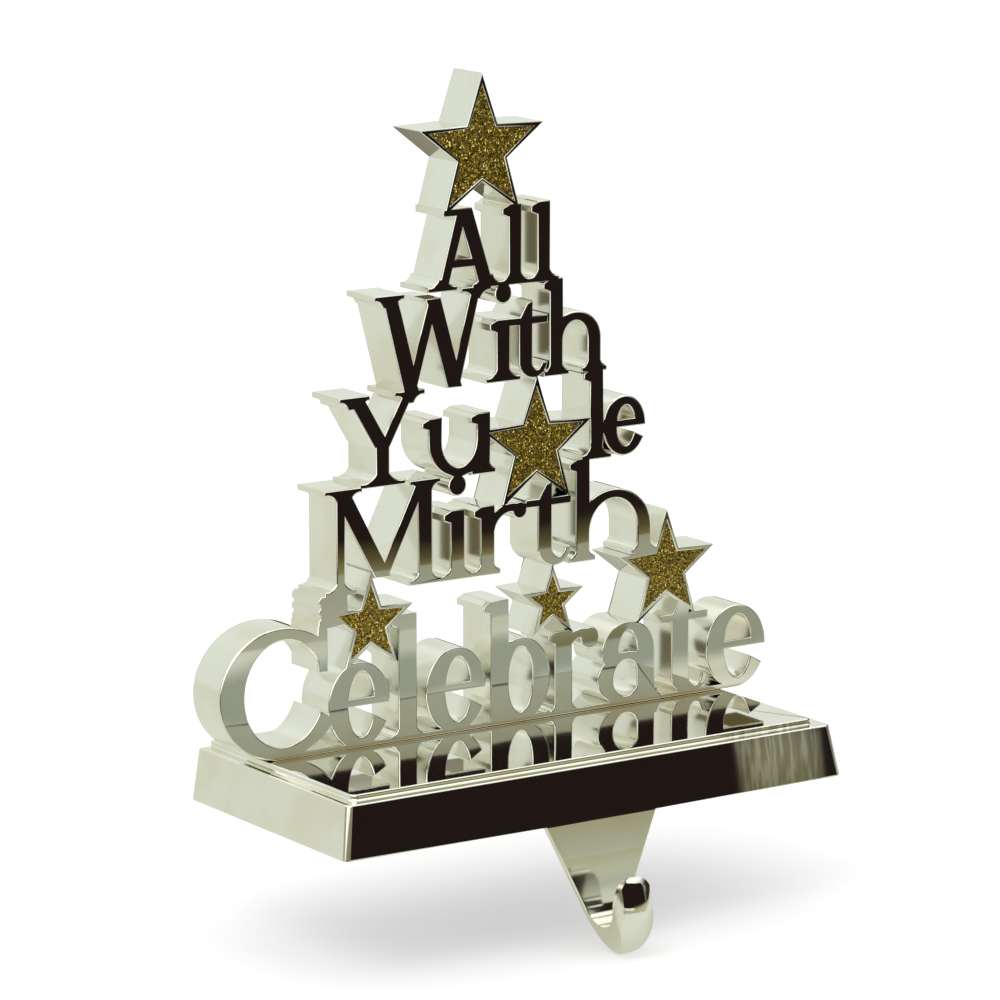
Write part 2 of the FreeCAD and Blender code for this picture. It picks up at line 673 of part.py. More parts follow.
def hook_casting():
    """The hook: a thin leaning plate that narrows, a deep trough and a crowned arm with a round tip.

    Its side view, its front view and its plan each give an outline, and the hook lies in all three.
    """
    lean = size("hook_lean")
    wall = size("hook_wall")
    thick = size("hook_arm_thickness")
    gap = size("hook_gap") / 2
    depth = size("hook_depth")
    belly = size("hook_belly")
    arm = size("hook_arm_width") / 2
    top = size("hook_top_width") / 2
    root = size("pad_thickness")
    slope = size("skirt_flare") / size("skirt_height")
    tip_z = -size("hook_tip_drop")

    inner_z = -(depth - belly - gap)
    inner_y = FRONT_FOOT + lean * inner_z
    arm_inner = inner_y - 2 * gap
    outer = gap + (wall + thick) / 2
    back_y = inner_y + wall
    arm_outer = back_y - 2 * outer
    middle_y = arm_outer + outer
    tip_round = thick / 2

    def at(y, z):
        return Vector(-top, y, z)

    underside = Part.Ellipse(at(middle_y, -depth), at(arm_outer, inner_z), at(middle_y, inner_z))

    edges = [
        Part.makeLine(at(FRONT_FOOT + slope * root, root), at(FRONT_FOOT, 0)),
        Part.makeLine(at(FRONT_FOOT, 0), at(inner_y, inner_z)),
        Part.Arc(at(inner_y, inner_z), at(inner_y - gap, inner_z - gap), at(arm_inner, inner_z)).toShape(),
        Part.makeLine(at(arm_inner, inner_z), at(arm_inner, tip_z - tip_round)),
        Part.Arc(
            at(arm_inner, tip_z - tip_round), at(arm_inner - tip_round, tip_z), at(arm_outer, tip_z - tip_round)
        ).toShape(),
        Part.makeLine(at(arm_outer, tip_z - tip_round), at(arm_outer, inner_z)),
        Part.ArcOfEllipse(underside, -math.pi / 2, math.pi / 2).toShape(),
        Part.makeLine(at(back_y, inner_z), at(FRONT_FOOT + wall, 0)),
        Part.makeLine(at(FRONT_FOOT + wall, 0), at(FRONT_FOOT + wall, root)),
        Part.makeLine(at(FRONT_FOOT + wall, root), at(FRONT_FOOT + slope * root, root)),
    ]
    curl = Part.Face(Part.Wire(Part.sortEdges(edges)[0])).extrude(Vector(2 * top, 0, 0))

    # The plate narrows at one rate to a point; the arm is the wider of the two near the lowest point.
    low_z = -depth - 1
    point_z = -size("hook_taper") * top / (top - arm)
    narrowing = patch((-top, root), (-top, 0), (0, point_z), (top, 0), (top, root))
    plate = upright(narrowing, middle_y, -middle_y)

    tip_height = arm * TIP_SLIMNESS
    shoulder_z = tip_z - tip_height
    round_tip = oval(0, shoulder_z, arm, tip_height * CROWN_REACH)
    round_foot = oval(0, shoulder_z, arm, (depth + shoulder_z) * CROWN_REACH)
    finger_halves = [
        round_tip.common(block(-arm, shoulder_z, arm, root)),
        round_foot.common(block(-arm, 2 * low_z, arm, shoulder_z)),
    ]
    finger = fused(finger_halves, 2 * FRONT_FOOT, middle_y - 2 * FRONT_FOOT)

    crown_plan = [
        oval(0, arm_inner, arm * CROWN_REACH, thick * CROWN_BULGE),
        block(-top - arm, arm_inner, top + arm, 0),
    ]
    tall = root - 2 * low_z
    for outline in crown_plan:
        outline.translate(Vector(0, 0, 2 * low_z))
    crown = crown_plan[0].extrude(Vector(0, 0, tall)).fuse(crown_plan[1].extrude(Vector(0, 0, tall)))
    return curl.common(plate).fuse(curl.common(finger)).common(crown).removeSplitter()


hook_cast = doc.addObject("Part::Feature", "HookCasting")
hook_cast.Shape = hook_casting()

solid_plinth = doc.addObject("Part::MultiFuse", "PlinthSolid")
solid_plinth.Shapes = [skirt_block, deck, hook_cast]
shell = doc.addObject("Part::Cut", "PlinthShell")
shell.Base = solid_plinth
shell.Tool = hollow


def sized_cylinder(name, radius, height, x, y, z):
    """An upright cylinder; its radius and height are formulas and its place is worked out."""
    item = doc.addObject("Part::Cylinder", name)
    bind(item, Radius=radius, Height=height)
    item.Placement = Placement(Vector(x, y, z), Rotation())
    return item


bosses = []
holes = []
for number, x in enumerate(SCREW_X, start=1):
    bosses.append(sized_cylinder("Boss%d" % number, "Sizes.boss_diameter / 2",
                                 "Sizes.boss_height + Sizes.shell_wall / 2", x, SCREW_Y, SCREW_SEAT))
    holes.append(sized_cylinder("ScrewHole%d" % number, "(Sizes.screw_diameter + Sizes.screw_clearance) / 2",
                                "Sizes.skirt_height + Sizes.deck_rise", x, SCREW_Y, 0))
bossed = doc.addObject("Part::MultiFuse", "PlinthBossed")
bossed.Shapes = [shell] + bosses
openings = doc.addObject("Part::MultiFuse", "PlinthOpenings")
openings.Shapes = [rebate] + holes
sharp_plinth = doc.addObject("Part::Cut", "PlinthSharp")
sharp_plinth.Base = bossed
sharp_plinth.Tool = openings
doc.recompute()


def middle_of(edge):
    return edge.valueAt((edge.FirstParameter + edge.LastParameter) / 2)


def corner_edges(shape):
    """The skirt's two front corner edges and the deck's two front corners."""
    picked = []
    half = size("plinth_width") / 2
    margin = size("skirt_flare") + size("ledge_width") + CORNER_MARGIN
    for number, edge in enumerate(shape.Edges, start=1):
        point = middle_of(edge)
        at_corner = point.y < FRONT_FOOT + margin and abs(point.x) > half - margin
        tall = edge.BoundBox.ZLength > size("deck_rise") - CORNER_MARGIN
        outside = abs(point.x) > half - size("shell_wall") or point.z > DECK_INSIDE
        if at_corner and tall and outside and point.z > size("pad_thickness") and len(edge.Vertexes) == 2:
            picked.append(number)
    return picked


plinth = doc.addObject("Part::Fillet", "plinth")
plinth.Base = sharp_plinth
corners = corner_edges(sharp_plinth.Shape)
plinth.Edges = [(number, size("corner_radius"), size("corner_radius")) for number in corners]
doc.recompute()
print("corner edges", corners, "state", plinth.State)
subparts.append(plinth)
subparts.append(base_pad)


def screws():
    """Two socket-head screws, driven up through the deck into the tree's feet."""
    solids = []
    for x in SCREW_X:
        head = size("screw_head_height")
        seat = Vector(x, SCREW_Y, SCREW_SEAT)
        under = Vector(x, SCREW_Y, SCREW_SEAT - head)
        shank = Part.makeCylinder(size("screw_diameter") / 2, size("screw_length"), seat)
        cap = Part.makeCylinder(size("screw_head_diameter") / 2, head, under)
        across = size("drive_size") / math.sqrt(3)
        turns = [math.radians(60 * turn) for turn in range(6)]
        hexagon = [under + Vector(across * math.cos(turn), across * math.sin(turn), 0) for turn in turns]
        socket = Part.Face(Part.makePolygon(hexagon + hexagon[:1])).extrude(Vector(0, 0, head * 0.6))
        solids.append(shank.fuse(cap).cut(socket).removeSplitter())
    return Part.makeCompound(solids)


subparts.append(feature("tree_screws", screws()))
doc.recompute()

for item in doc.Objects:
    if "Invalid" in item.State or "Error" in item.State:
        raise RuntimeError("%s did not build: %s" % (item.Name, item.State))
for item in subparts:
    if item.Shape.isNull() or not item.Shape.isValid():
        raise RuntimeError("%s has no valid shape" % item.Label)
    print(item.Label, "solids", len(item.Shape.Solids), "volume", round(item.Shape.Volume), "faces",
          len(item.Shape.Faces))
for item in subparts:
    item.Shape.exportStep("parts/%s.step" % item.Label)
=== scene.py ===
# %% [markdown]
# # A mantel stocking holder in bright nickel plate
#
# The real object is two zinc castings with a bright nickel plate. One is a hollow plinth with a
# curled hook cast on its front. The other is a tree of openwork words and star rims. Gold glitter is
# poured into the stars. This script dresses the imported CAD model: it rounds the castings' edges,
# lays glitter flakes in the stars and gives every piece its finish.

# %% Load the frame
import math

import bmesh
import bpy
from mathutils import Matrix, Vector


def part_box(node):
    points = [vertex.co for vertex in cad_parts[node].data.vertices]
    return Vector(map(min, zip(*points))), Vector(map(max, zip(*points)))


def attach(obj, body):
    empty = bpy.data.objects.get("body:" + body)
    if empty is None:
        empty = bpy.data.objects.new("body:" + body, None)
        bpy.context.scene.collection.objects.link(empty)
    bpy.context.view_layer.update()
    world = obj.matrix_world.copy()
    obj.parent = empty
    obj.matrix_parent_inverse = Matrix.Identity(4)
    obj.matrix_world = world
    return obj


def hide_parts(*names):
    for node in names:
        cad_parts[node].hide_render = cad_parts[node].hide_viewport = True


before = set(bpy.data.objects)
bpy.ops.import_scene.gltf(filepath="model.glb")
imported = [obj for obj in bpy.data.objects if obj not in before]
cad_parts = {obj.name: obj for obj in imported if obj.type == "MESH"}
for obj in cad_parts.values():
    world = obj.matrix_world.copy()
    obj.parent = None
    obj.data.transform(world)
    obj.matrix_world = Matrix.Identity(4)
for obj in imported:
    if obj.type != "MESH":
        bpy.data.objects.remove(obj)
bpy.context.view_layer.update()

MM = 0.001
PLINTH_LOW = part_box("plinth")[0]
DECK_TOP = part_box("word_tree")[0].z
FLOOR_GAP = 0.6 * MM
FLOOR = PLINTH_LOW.z - FLOOR_GAP
STARS = [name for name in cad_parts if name.endswith("_star_inlay")]
print("deck at", round(DECK_TOP / MM, 1), "mm, stars:", len(STARS))

# %% [markdown]
# ## Node trees as Python
#
# A material is easier to read as a formula than as a list of links. A Wire is a socket that can be
# added and multiplied, and each sum adds its own Math node. A Board is a tree, and its one method
# adds any other node: first the node's settings, then the values or wires of its sockets.


# %% Wires and boards
class Wire:
    """A socket that takes part in sums."""

    def __init__(self, board, socket):
        self.board = board
        self.socket = socket

    def math(self, operation, *values):
        return self.board.node("ShaderNodeMath", {"operation": operation}, dict(enumerate(values)))

    def __add__(self, other):
        return self.math("ADD", self, other)

    def __sub__(self, other):
        return self.math("SUBTRACT", self, other)

    def __rsub__(self, other):
        return self.math("SUBTRACT", other, self)

    def __mul__(self, other):
        return self.math("MULTIPLY", self, other)

    def __abs__(self):
        return self.math("ABSOLUTE", self)

    __radd__ = __add__
    __rmul__ = __mul__

    def rise(self, start, end):
        """0 up to start and 1 from end, with a soft step between; the step falls if end is lower."""
        return self.board.node("ShaderNodeMapRange", {"interpolation_type": "SMOOTHSTEP"},
                               {"Value": self, "From Min": start, "From Max": end})


class Board:
    """A node tree that is written in Python."""

    def __init__(self, tree):
        self.tree = tree

    def node(self, kind, settings=None, inputs=None, output=0):
        made = self.tree.nodes.new(kind)
        for name, value in (settings or {}).items():
            setattr(made, name, value)
        for key, value in (inputs or {}).items():
            if isinstance(value, Wire):
                self.tree.links.new(value.socket, made.inputs[key])
            else:
                made.inputs[key].default_value = value
        return Wire(self, made.outputs[output])

    def mix(self, share, first, second):
        """A colour between two colours."""
        return self.node("ShaderNodeMix", {"data_type": "RGBA"},
                         {0: share, 6: first, 7: second}, output=2)

    def ramp(self, place, stops):
        """A colour that runs through stops, each with its place and its colour."""
        made = self.tree.nodes.new("ShaderNodeValToRGB")
        elements = made.color_ramp.elements
        while len(elements) < len(stops):
            elements.new(1.0)
        for element, (position, colour) in zip(elements, stops):
            element.position = position
            element.color = colour
        self.tree.links.new(place.socket, made.inputs[0])
        return Wire(self, made.outputs[0])

    def axis(self, vector, letter):
        """One axis of a vector."""
        return self.node("ShaderNodeSeparateXYZ", None, {0: vector}, output="XYZ".index(letter))


def new_board(name):
    """An empty material's board, with the material."""
    material = bpy.data.materials.new(name)
    material.use_nodes = True
    material.node_tree.nodes.clear()
    return material, Board(material.node_tree)


def finish_board(board, shader, kind="ShaderNodeOutputMaterial"):
    """Gives the finished shader to the tree's output."""
    result = board.tree.nodes.new(kind)
    board.tree.links.new(shader.socket, result.inputs["Surface"])


# %% [markdown]
# ## Bright nickel plate
#
# Nickel plate is a mirror with a slightly warm tint. The faces that the polisher's wheel reaches,
# which are the fronts and the deck, are almost clear mirrors. The sides keep the fine lines of the
# belt, so they are satin, and so are the hook's flat plate and a patch near the right end of the
# skirt. A mask from the normal and the place drives the roughness and the depth of the lines. A
# slow noise bends the mirror a little, because a polished casting is never quite flat.

# %% Nickel plate
BRIGHT_NICKEL = (0.86, 0.86, 0.80, 1.0)
WARM_NICKEL = (0.80, 0.75, 0.61, 1.0)
PAINTED_FOOT_SHADE = (0.50, 0.38, 0.17, 1.0)
OLIVE_STREAK_TONE = (0.42, 0.40, 0.28, 1.0)
FRONT_FACING = (0.55, 0.9)
LEVEL_FACING = (0.6, 0.95)
WARM_SHARE = 0.55
STREAK_SHARE = 0.7
FOOT_SHADE_HEIGHT = 1.3 * MM
RUB_START, RUB_END = 40 * MM, 72 * MM
RUB_FRONT = -20 * MM
RUB_FADE = 6 * MM
PLATE_TOP = -0.5 * MM
PLATE_TOP_FADE = 2 * MM
PLATE_FRONT = -40 * MM
PLATE_FRONT_FADE = 1.5 * MM
PLATE_SATIN = 0.55
MIRROR_ROUGHNESS = 0.035
SATIN_ROUGHNESS = 0.10
BELT_ROUGHNESS = 0.08
BELT_LINES = (700.0, 500.0, 16.0)
BELT_DEPTH = 0.008
CLOUD_SCALE = 60.0
WAVE_SCALE = 55.0
RELIEF = 0.6 * MM


def nickel_material(name, seam, rub, wave):
    """Nickel plate, with a painted brassy shade just above the height seam, where the words stand on the
    deck.

    rub is how much of the belt shows on its front, and wave is how far its mirror bends.
    """
    material, board = new_board(name)
    place = board.node("ShaderNodeTexCoord", output=3)
    normal = board.node("ShaderNodeNewGeometry", output=1)
    front = abs(board.axis(normal, "Y")).rise(*FRONT_FACING)
    level = abs(board.axis(normal, "Z")).rise(*LEVEL_FACING)
    across = board.axis(place, "X")
    depth = board.axis(place, "Y")
    rubbed = across.rise(RUB_START, RUB_START + RUB_FADE) * across.rise(RUB_END, RUB_END - RUB_FADE)
    rubbed = rubbed * depth.rise(RUB_FRONT, RUB_FRONT - RUB_FADE)
    plate = (board.axis(place, "Z").rise(PLATE_TOP, PLATE_TOP - PLATE_TOP_FADE)
             * depth.rise(PLATE_FRONT - PLATE_FRONT_FADE, PLATE_FRONT))
    polished = front.math("MAXIMUM", front * (1.0 - rubbed * rub), level) * (1.0 - plate * PLATE_SATIN)
    satin = 1.0 - polished

    stretched = board.node("ShaderNodeMapping", None, {"Vector": place, "Scale": BELT_LINES})
    belt = board.node("ShaderNodeTexNoise", None, {"Vector": stretched, "Scale": 1.0, "Detail": 2.0})
    cloud = board.node("ShaderNodeTexNoise", None, {"Vector": place, "Scale": CLOUD_SCALE, "Detail": 2.0})

    roughness = MIRROR_ROUGHNESS + satin * (SATIN_ROUGHNESS + belt * BELT_ROUGHNESS)
    colour = board.mix(cloud.rise(0.42, 0.72) * WARM_SHARE, BRIGHT_NICKEL, WARM_NICKEL)
    # Darker olive streaks along the belt lines in the patch near the skirt's right end.
    streaked = rubbed * front * rub * belt.rise(0.40, 0.58)
    colour = board.mix(streaked * STREAK_SHARE, colour, OLIVE_STREAK_TONE)
    # Painted shade: a brassy darkening over the lowest part of the words, where they stand on the deck.
    if seam is not None:
        thin = board.axis(place, "Z").rise(seam + FOOT_SHADE_HEIGHT, seam)
        colour = board.mix(thin * (0.5 + cloud * 0.5), colour, PAINTED_FOOT_SHADE)

    wavy = board.node("ShaderNodeTexNoise", None, {"Vector": place, "Scale": WAVE_SCALE, "Detail": 0.0})
    relief = wavy * wave + belt * satin * BELT_DEPTH
    bump = board.node("ShaderNodeBump", None, {"Strength": 1.0, "Distance": RELIEF, "Height": relief})
    shader = board.node("ShaderNodeBsdfPrincipled", None, {
        "Base Color": colour, "Metallic": 1.0, "Roughness": roughness, "Normal": bump})
    finish_board(board, shader)
    return material


PLINTH_PLATE = nickel_material("Nickel plate on the plinth", None, rub=1.0, wave=0.08)
TREE_PLATE = nickel_material("Nickel plate on the words", DECK_TOP, rub=0.0, wave=0.16)
print("made:", PLINTH_PLATE.name, "and", TREE_PLATE.name)

# %% [markdown]
# ## Rounding the castings
#
# A cast and polished edge has a radius of about half a millimetre, and in a mirror that radius is
# what draws the bright line round each letter. The CAD model's edges are sharp, so each casting is
# copied and its copy is rounded. The copy's loose triangles are first joined into clean faces,
# because the rounding would follow the edges between them too.

# %% Copies of the castings
JOIN = 0.04 * MM
SAME_PLANE = math.radians(0.8)


def joined_copy(node, name):
    """A copy of a CAD node with its loose triangles joined into clean faces."""
    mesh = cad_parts[node].data.copy()
    mesh.name = name
    if "custom_normal" in mesh.attributes:
        mesh.attributes.remove(mesh.attributes["custom_normal"])
    work = bmesh.new()
    work.from_mesh(mesh)
    bmesh.ops.remove_doubles(work, verts=work.verts, dist=JOIN)
    bmesh.ops.dissolve_degenerate(work, dist=JOIN / 4, edges=work.edges)
    bmesh.ops.dissolve_limit(work, angle_limit=SAME_PLANE, verts=work.verts, edges=work.edges)
    bmesh.ops.recalc_face_normals(work, faces=work.faces)
    work.to_mesh(mesh)
    work.free()
    piece = bpy.data.objects.new(name, mesh)
    bpy.context.scene.collection.objects.link(piece)
    return piece


def apply_modifiers(piece):
    """Turns a piece's modifiers into plain mesh."""
    bpy.context.view_layer.update()
    done = bpy.data.meshes.new_from_object(piece.evaluated_get(bpy.context.evaluated_depsgraph_get()))
    piece.modifiers.clear()
    piece.data = done


# %% [markdown]
# ## Keeping the mirrors flat
#
# A rounded edge needs smooth shading, but smooth shading also bends the mirror of the face beside
# it. Weighted normals prevent this: each corner follows the largest face that meets there. The
# words have long thin triangles that would still tilt a corner here and there. Their fronts all lie
# in one plane, so every corner of that plane simply faces straight out.

# %% Flat mirrors
FLAT_FACE_WEIGHT = 80


def keep_flat(piece, crease):
    """Shades a piece smooth up to an angle in degrees, and keeps its broad faces flat."""
    piece.data.shade_smooth()
    piece.data.set_sharp_from_angle(angle=math.radians(crease))
    weights = piece.modifiers.new("Flat faces", "WEIGHTED_NORMAL")
    weights.weight = FLAT_FACE_WEIGHT
    weights.keep_sharp = True
    apply_modifiers(piece)


def face_straight_out(piece):
    """Turns the normals of all corners on the front and the back plane straight out."""
    mesh = piece.data
    front = min(vert.co.y for vert in mesh.vertices)
    back = max(vert.co.y for vert in mesh.vertices)
    normals = [corner.vector.copy() for corner in mesh.corner_normals]
    for loop in mesh.loops:
        place = mesh.vertices[loop.vertex_index].co.y
        if min(place - front, back - place) < JOIN / 4:
            normals[loop.index] = Vector((0, -1 if place < (front + back) / 2 else 1, 0))
    mesh.normals_split_custom_set(normals)


# %% [markdown]
# ## The hook's arm
#
# The arm is round on its outer side, like a finger, so that a stocking's loop slides over it. Its
# CAD shape is flat across. Cuts along the arm give the copy enough points, and each point moves
# towards the middle of the trough, further the nearer it is to the arm's side. So the section
# follows half an ellipse. The tip also rolls back towards the plate.

# %% The hook's arm
ARM_HALF = 5.5 * MM
ARM_TOP = -8 * MM
ARM_THICKNESS = 4.0 * MM
ARM_BOW = 3.0 * MM
ARM_TURNS_IN_DEGREES = range(-80, 81, 10)
TROUGH = Vector((0, PLINTH_LOW.y + 9.8 * MM, PLINTH_LOW.z + 12.2 * MM))
TROUGH_RADIUS = 5.8 * MM
PLATE_GAP = 4.0 * MM
TIP_START = -23 * MM
TIP_TOP = -11.8 * MM
TIP_ROLL = 2.6 * MM
TIP_CUTS_IN_MM = range(-23, -11)


def on_arm(place):
    """Whether a place is on the hook's arm."""
    return place.y < TROUGH.y + PLATE_GAP and place.z < ARM_TOP


def cut_faces(work, chosen, place, way):
    """Cuts the faces that a test chooses with a plane."""
    faces = [face for face in work.faces if chosen(face)]
    edges = dict.fromkeys(edge for face in faces for edge in face.edges)
    verts = dict.fromkeys(vert for face in faces for vert in face.verts)
    bmesh.ops.bisect_plane(work, geom=[*verts, *edges, *faces], plane_co=place, plane_no=way, dist=JOIN)


def round_arm(piece):
    """Makes the hook's arm round on its outer side, and rolls its tip back."""
    work = bmesh.new()
    work.from_mesh(piece.data)
    cuts = [((ARM_HALF * math.sin(math.radians(turn)), 0, 0), (1, 0, 0)) for turn in ARM_TURNS_IN_DEGREES]
    cuts += [((0, 0, height * MM), (0, 0, 1)) for height in TIP_CUTS_IN_MM]
    for place, way in cuts:
        cut_faces(work, lambda face: on_arm(face.calc_center_median()), place, way)
    for vert in work.verts:
        outward = Vector((0, vert.co.y - TROUGH.y, min(vert.co.z - TROUGH.z, 0)))
        outer = min(max((outward.length - TROUGH_RADIUS) / ARM_THICKNESS, 0), 1)
        outer *= min(max(1 - outward.y / PLATE_GAP, 0), 1)
        if vert.co.z > ARM_TOP or outer == 0:
            continue
        side = min(abs(vert.co.x) / ARM_HALF, 1)
        up_the_tip = max(0.0, (vert.co.z - TIP_START) / (TIP_TOP - TIP_START))
        vert.co -= outward.normalized() * outer * ARM_BOW * (1 - math.sqrt(1 - side ** 2))
        vert.co.y += outer * TIP_ROLL * up_the_tip ** 2
    work.to_mesh(piece.data)
    work.free()
    print("arm cut", len(cuts), "times and bowed by", round(ARM_BOW / MM, 1), "mm")


# %% [markdown]
# ## The plinth's edges
#
# A Bevel modifier rounds the plinth's few plain faces well. A weight on each edge says which ones
# it takes: those that are sharp. The arm is round already, and round the screw holes under the deck
# there is no room for a bevel, so both are left out.

# %% The plinth's edges
PLINTH_ROUNDING = 0.45 * MM
ROUNDING_STEPS = 3
HOLE_REACH = 6 * MM
SCREW_RADIUS = 2.8 * MM
SCREWS_LOW, SCREWS_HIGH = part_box("tree_screws")
SCREW_HOLES = [Vector((x, (SCREWS_LOW.y + SCREWS_HIGH.y) / 2))
               for x in (SCREWS_LOW.x + SCREW_RADIUS, SCREWS_HIGH.x - SCREW_RADIUS)]


def round_by_modifier(piece, width, sharp, holes):
    """Rounds each edge sharper than an angle in degrees, except on the arm and near the holes."""
    work = bmesh.new()
    work.from_mesh(piece.data)
    weight = work.edges.layers.float.new("bevel_weight_edge")
    rounded = 0
    for edge in work.edges:
        middle = (edge.verts[0].co + edge.verts[1].co) / 2
        clear = not on_arm(middle) and min((middle.xy - hole).length for hole in holes) > HOLE_REACH
        if clear and len(edge.link_faces) == 2 and edge.calc_face_angle() > math.radians(sharp):
            edge[weight] = 1.0
            rounded += 1
    work.to_mesh(piece.data)
    work.free()
    bevel = piece.modifiers.new("Rounded edges", "BEVEL")
    bevel.width = width
    bevel.segments = ROUNDING_STEPS
    bevel.limit_method = "WEIGHT"
    bevel.use_clamp_overlap = False
    apply_modifiers(piece)
    print("rounded", rounded, "edges")


# %% [markdown]
# ## The words' outline
#
# The words have hundreds of short outline edges, and there a Bevel modifier makes long spikes.
# Their faces all lie in one plane, so they are pushed back by the radius and then brought forward
# again in three steps, and each step is a little smaller than the last: that is a quarter of a
# circle. In the tightest corners the smaller outline crosses itself and a few triangles fold over.
# A small one of these is closed up, and a long one has its longest edge turned.

# %% The words' outline
WORD_ROUNDING = 0.45 * MM
UNFOLD_ATTEMPTS = 12
LONGEST_FOLD = 0.3 * MM
FACES_OUT = 0.99
FACES_IN = -0.5


def unfold(work, way, level):
    """Opens the small folds in a plane, where a triangle faces inward."""
    def flat(face):
        return all(abs(way * vert.co.y - level) < JOIN / 4 for vert in face.verts)

    def length(edge):
        return edge.calc_length()

    for _ in range(UNFOLD_ATTEMPTS):
        work.normal_update()
        folded = [face for face in work.faces if face.normal.y * way < FACES_IN and flat(face)]
        shortest = dict.fromkeys(min(face.edges, key=length) for face in folded)
        short = [edge for edge in shortest if length(edge) < LONGEST_FOLD]
        if short:
            bmesh.ops.collapse(work, edges=short)
            continue
        turned = 0
        for face in folded:
            edge = max(face.edges, key=length) if face.is_valid else None
            if edge and all(flat(side) for side in edge.link_faces):
                turned += bmesh.utils.edge_rotate(edge) is not None
        if turned == 0:
            break
    print("triangles that still face inward:", len(folded))


def round_outline(piece, way, radius):
    """Rounds the outline of all faces that lie furthest along way, which is 1 or -1 along Y."""
    work = bmesh.new()
    work.from_mesh(piece.data)
    level = max(way * vert.co.y for vert in work.verts)
    faces = [face for face in work.faces if face.normal.y * way > FACES_OUT
             and abs(face.calc_center_median().y * way - level) < JOIN]
    faces = bmesh.ops.triangulate(work, faces=faces)["faces"]
    for vert in {vert for face in faces for vert in face.verts}:
        vert.co.y -= way * radius
    for step in range(ROUNDING_STEPS):
        before = math.pi / 2 * step / ROUNDING_STEPS
        after = math.pi / 2 * (step + 1) / ROUNDING_STEPS
        bmesh.ops.inset_region(work, faces=faces, use_boundary=True, use_even_offset=False,
                               thickness=radius * (math.cos(before) - math.cos(after)),
                               depth=radius * (math.sin(after) - math.sin(before)))
    print("rounded", len(faces), "faces at y", round(way * level / MM, 2), "mm")
    unfold(work, way, level)
    work.to_mesh(piece.data)
    work.free()


# %% The two castings
PLINTH_SHARP = 28
PLINTH_CREASE = 35
WORD_CREASE = 52


def dress(piece, node, material):
    """Puts a finished piece in a CAD node's place."""
    piece.data.materials.clear()
    piece.data.materials.append(material)
    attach(piece, "root")
    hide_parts(node)
    print(piece.name, "faces", len(piece.data.polygons))


plinth = joined_copy("plinth", "plinth_casting")
round_arm(plinth)
round_by_modifier(plinth, PLINTH_ROUNDING, PLINTH_SHARP, SCREW_HOLES)
keep_flat(plinth, PLINTH_CREASE)
dress(plinth, "plinth", PLINTH_PLATE)

words = joined_copy("word_tree", "word_tree_casting")
round_outline(words, -1, WORD_ROUNDING)
round_outline(words, 1, WORD_ROUNDING)
keep_flat(words, WORD_CREASE)
face_straight_out(words)
dress(words, "word_tree", TREE_PLATE)

# %% [markdown]
# ## Gold glitter in the stars
#
# The glitter is cut film: small six-sided flakes, nearly one size, that lie at every angle in resin.
# Each flake is a tiny mirror, so it is either bright or dark, and only real facets do that from every
# side. Geometry Nodes scatter them: points on the inlay's front face, one hexagon on each point, a
# random tilt and a random shade that the material reads as an attribute.

# %% Glitter material
FLAKE_STOPS = [
    (0.0, (0.07, 0.04, 0.005, 1.0)),
    (0.35, (0.26, 0.16, 0.018, 1.0)),
    (0.7, (0.62, 0.44, 0.055, 1.0)),
    (1.0, (1.0, 0.88, 0.34, 1.0)),
]
RESIN_SHADOW = (0.05, 0.03, 0.004, 1.0)
RESIN_GOLD = (0.50, 0.36, 0.06, 1.0)
RESIN_GRAINS = 2600.0


def flake_material():
    """Metal foil whose shade comes from each flake's own attribute."""
    material, board = new_board("Gold glitter")
    shade = board.node("ShaderNodeAttribute", {"attribute_name": "shade"}, output=2)
    shader = board.node("ShaderNodeBsdfPrincipled", None, {
        "Base Color": board.ramp(shade, FLAKE_STOPS), "Metallic": 1.0, "Roughness": 0.25})
    finish_board(board, shader)
    return material


def resin_material():
    """The resin under the flakes: the same glitter, seen as a fine grain in the depth."""
    material, board = new_board("Glitter resin")
    place = board.node("ShaderNodeTexCoord", output=3)
    grain = board.node("ShaderNodeTexVoronoi", None, {"Vector": place, "Scale": RESIN_GRAINS}, output=1)
    shade = board.axis(grain, "X")
    colour = board.mix(shade, RESIN_SHADOW, RESIN_GOLD)
    tilt = board.node("ShaderNodeBump", None, {"Strength": 0.8, "Distance": 0.1 * MM, "Height": shade})
    shader = board.node("ShaderNodeBsdfPrincipled", None, {
        "Base Color": colour, "Metallic": 0.8, "Roughness": 0.35, "Normal": tilt,
        "Coat Weight": 0.3, "Coat Roughness": 0.1})
    finish_board(board, shader)
    return material


FLAKE = flake_material()
RESIN = resin_material()
print("made:", FLAKE.name, "and", RESIN.name)


# %% Glitter scatter
FLAKE_CORNERS = 6
SMALLEST_FLAKE, LARGEST_FLAKE = 0.7, 1.25
SIZE_SEED = 5
SHADE_SEED = 11
FRONT_FACES = -0.9


def add_input(tree, name, kind, value):
    """A named input of a geometry tree; gives back its identifier."""
    socket = tree.interface.new_socket(name=name, in_out="INPUT", socket_type=kind)
    if value is not None:
        socket.default_value = value
    return socket.identifier


